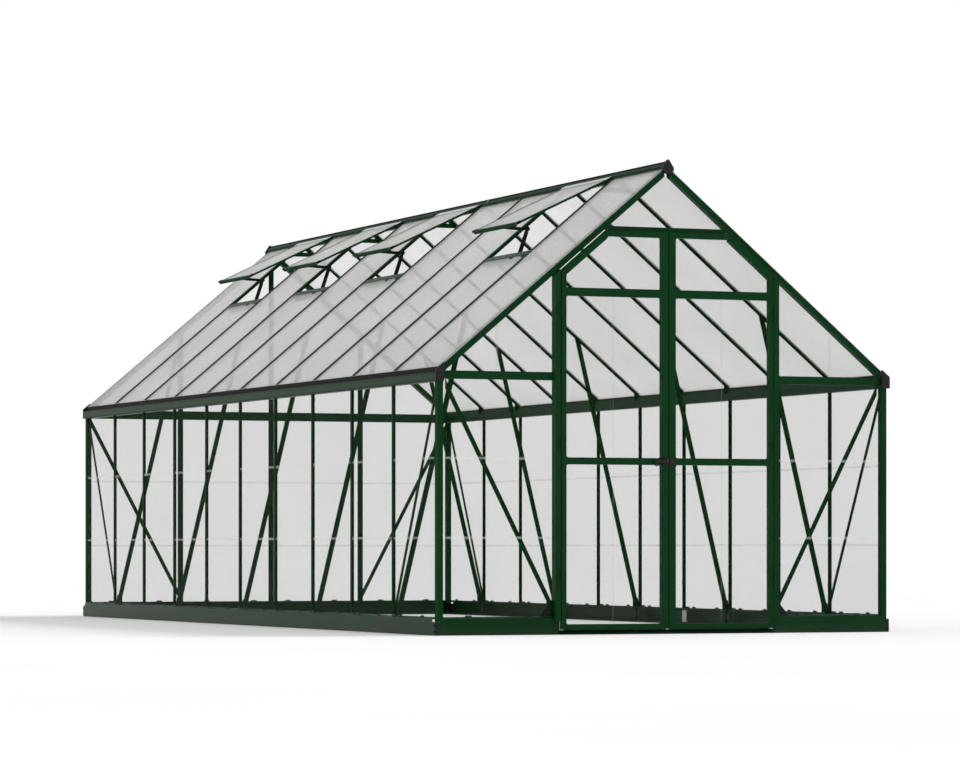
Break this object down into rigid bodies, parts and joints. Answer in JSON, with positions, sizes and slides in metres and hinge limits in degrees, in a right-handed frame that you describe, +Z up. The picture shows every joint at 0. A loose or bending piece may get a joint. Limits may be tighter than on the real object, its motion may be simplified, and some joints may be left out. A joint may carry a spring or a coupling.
{
  "type": "polycarbonate greenhouse",
  "caption": "Gable-roofed greenhouse with a green aluminium frame, clear sheet walls, twin-wall roof, paired hinged doors and opening roof vents with elbow stays.",
  "frame": {"origin": "on the ground under the middle of the greenhouse", "axes": "+X to the right seen from the doors, +Y from the doors to the back gable, +Z up"},
  "size_m": [2.44, 6.104, 2.3242],
  "materials": {
    "green_aluminium": "dark green powder coat",
    "clear_sheet": "clear polycarbonate",
    "twin_wall_sheet": "translucent twin-wall polycarbonate",
    "black_plastic": "moulded",
    "black_metal": "black paint"
  },
  "bodies": {
    "frame": {"back_mullions": "green_aluminium", "base_corner_blocks": "black_plastic", "base_rails_gable": "green_aluminium", "base_rails_long": "green_aluminium", "corner_posts": "green_aluminium", "door_header": "green_aluminium", "door_jambs": "green_aluminium", "door_threshold": "green_aluminium", "gable_eave_bars": "green_aluminium", "gable_panels_back": "clear_sheet", "gable_panels_front": "clear_sheet", "gable_rafters": "green_aluminium", "gable_strips": "green_aluminium", "gutter_end_caps": "black_plastic", "gutter_left": "green_aluminium", "gutter_right": "green_aluminium", "hinge_pins": "black_metal", "jamb_foot_gussets": "black_plastic", "jamb_knuckles": "black_metal", "leaning_braces": "green_aluminium", "panel_clips": "black_plastic", "rafters_left": "green_aluminium", "rafters_right": "green_aluminium", "ridge_beam": "green_aluminium", "ridge_collar_plates": "green_aluminium", "ridge_end_caps": "black_plastic", "roof_panels_left": "twin_wall_sheet", "roof_panels_right": "twin_wall_sheet", "vent_sills": "green_aluminium", "wall_mullions_left": "green_aluminium", "wall_mullions_right": "green_aluminium", "wall_panels_left": "clear_sheet", "wall_panels_right": "clear_sheet", "wall_strips": "green_aluminium"},
    "left_door": {"left_door_frame": "green_aluminium", "left_door_panes": "clear_sheet", "left_door_knuckles": "black_metal", "latch_case": "black_plastic"},
    "right_door": {"right_door_frame": "green_aluminium", "right_door_panes": "clear_sheet", "right_door_knuckles": "black_metal", "latch_keeper": "black_plastic"},
    "latch": {"latch_lever": "black_plastic"},
    "vent_1": {"vent_1_frame": "green_aluminium", "vent_1_panel": "twin_wall_sheet"},
    "vent_1_upper_arm": {"vent_1_upper_stay": "black_metal"},
    "vent_1_lower_arm": {"vent_1_lower_stay": "black_metal"},
    "vent_2": {"vent_2_frame": "green_aluminium", "vent_2_panel": "twin_wall_sheet"},
    "vent_2_upper_arm": {"vent_2_upper_stay": "black_metal"},
    "vent_2_lower_arm": {"vent_2_lower_stay": "black_metal"},
    "vent_3": {"vent_3_frame": "green_aluminium", "vent_3_panel": "twin_wall_sheet"},
    "vent_3_upper_arm": {"vent_3_upper_stay": "black_metal"},
    "vent_3_lower_arm": {"vent_3_lower_stay": "black_metal"},
    "vent_4": {"vent_4_frame": "green_aluminium", "vent_4_panel": "twin_wall_sheet"},
    "vent_4_upper_arm": {"vent_4_upper_stay": "black_metal"},
    "vent_4_lower_arm": {"vent_4_lower_stay": "black_metal"}
  },
  "joints": [
    {"name": "left_door_hinge", "type": "hinge", "parent": "frame", "child": "left_door", "pos_m": [-0.571, -3.0455, 0.274], "axis": [0, 0, -1], "range_deg": [0, 110]},
    {"name": "right_door_hinge", "type": "hinge", "parent": "frame", "child": "right_door", "pos_m": [0.571, -3.0455, 0.274], "axis": [0, 0, 1], "range_deg": [0, 110]},
    {"name": "latch_turn", "type": "hinge", "parent": "left_door", "child": "latch", "pos_m": [-0.02, -3.04, 0.843], "axis": [0, -1, 0], "range_deg": [0, 90]},
    {"name": "vent_1_hinge", "type": "hinge", "parent": "frame", "child": "vent_1", "pos_m": [-0.0314, 2.1, 2.28091], "axis": [0, -1, 0], "range_deg": [0, 14.7]},
    {"name": "vent_1_upper_pivot", "type": "hinge", "parent": "vent_1", "child": "vent_1_upper_arm", "pos_m": [-0.50821, 2.1, 2.04944], "axis": [0, -1, 0], "range_deg": [0, 20.8]},
    {"name": "vent_1_lower_pivot", "type": "hinge", "parent": "frame", "child": "vent_1_lower_arm", "pos_m": [-0.41572, 2.1, 1.8861], "axis": [0, -1, 0], "range_deg": [-21.8, 0]},
    {"name": "vent_2_hinge", "type": "hinge", "parent": "frame", "child": "vent_2", "pos_m": [-0.0314, 0.9, 2.28091], "axis": [0, -1, 0], "range_deg": [0, 14.7]},
    {"name": "vent_2_upper_pivot", "type": "hinge", "parent": "vent_2", "child": "vent_2_upper_arm", "pos_m": [-0.50821, 0.9, 2.04944], "axis": [0, -1, 0], "range_deg": [0, 20.8]},
    {"name": "vent_2_lower_pivot", "type": "hinge", "parent": "frame", "child": "vent_2_lower_arm", "pos_m": [-0.41572, 0.9, 1.8861], "axis": [0, -1, 0], "range_deg": [-21.8, 0]},
    {"name": "vent_3_hinge", "type": "hinge", "parent": "frame", "child": "vent_3", "pos_m": [-0.0314, -0.3, 2.28091], "axis": [0, -1, 0], "range_deg": [0, 14.7]},
    {"name": "vent_3_upper_pivot", "type": "hinge", "parent": "vent_3", "child": "vent_3_upper_arm", "pos_m": [-0.50821, -0.3, 2.04944], "axis": [0, -1, 0], "range_deg": [0, 20.8]},
    {"name": "vent_3_lower_pivot", "type": "hinge", "parent": "frame", "child": "vent_3_lower_arm", "pos_m": [-0.41572, -0.3, 1.8861], "axis": [0, -1, 0], "range_deg": [-21.8, 0]},
    {"name": "vent_4_hinge", "type": "hinge", "parent": "frame", "child": "vent_4", "pos_m": [-0.0314, -2.1, 2.28091], "axis": [0, -1, 0], "range_deg": [0, 14.7]},
    {"name": "vent_4_upper_pivot", "type": "hinge", "parent": "vent_4", "child": "vent_4_upper_arm", "pos_m": [-0.50821, -2.1, 2.04944], "axis": [0, -1, 0], "range_deg": [0, 20.8]},
    {"name": "vent_4_lower_pivot", "type": "hinge", "parent": "frame", "child": "vent_4_lower_arm", "pos_m": [-0.41572, -2.1, 1.8861], "axis": [0, -1, 0], "range_deg": [-21.8, 0]}
  ],
  "couplings": [
    {"joint": "vent_1_upper_pivot", "follows": "vent_1_hinge", "ratio": 1.4082},
    {"joint": "vent_1_lower_pivot", "follows": "vent_1_hinge", "ratio": -1.4823},
    {"joint": "vent_2_upper_pivot", "follows": "vent_2_hinge", "ratio": 1.4082},
    {"joint": "vent_2_lower_pivot", "follows": "vent_2_hinge", "ratio": -1.4823},
    {"joint": "vent_3_upper_pivot", "follows": "vent_3_hinge", "ratio": 1.4082},
    {"joint": "vent_3_lower_pivot", "follows": "vent_3_hinge", "ratio": -1.4823},
    {"joint": "vent_4_upper_pivot", "follows": "vent_4_hinge", "ratio": 1.4082},
    {"joint": "vent_4_lower_pivot", "follows": "vent_4_hinge", "ratio": -1.4823}
  ]
}
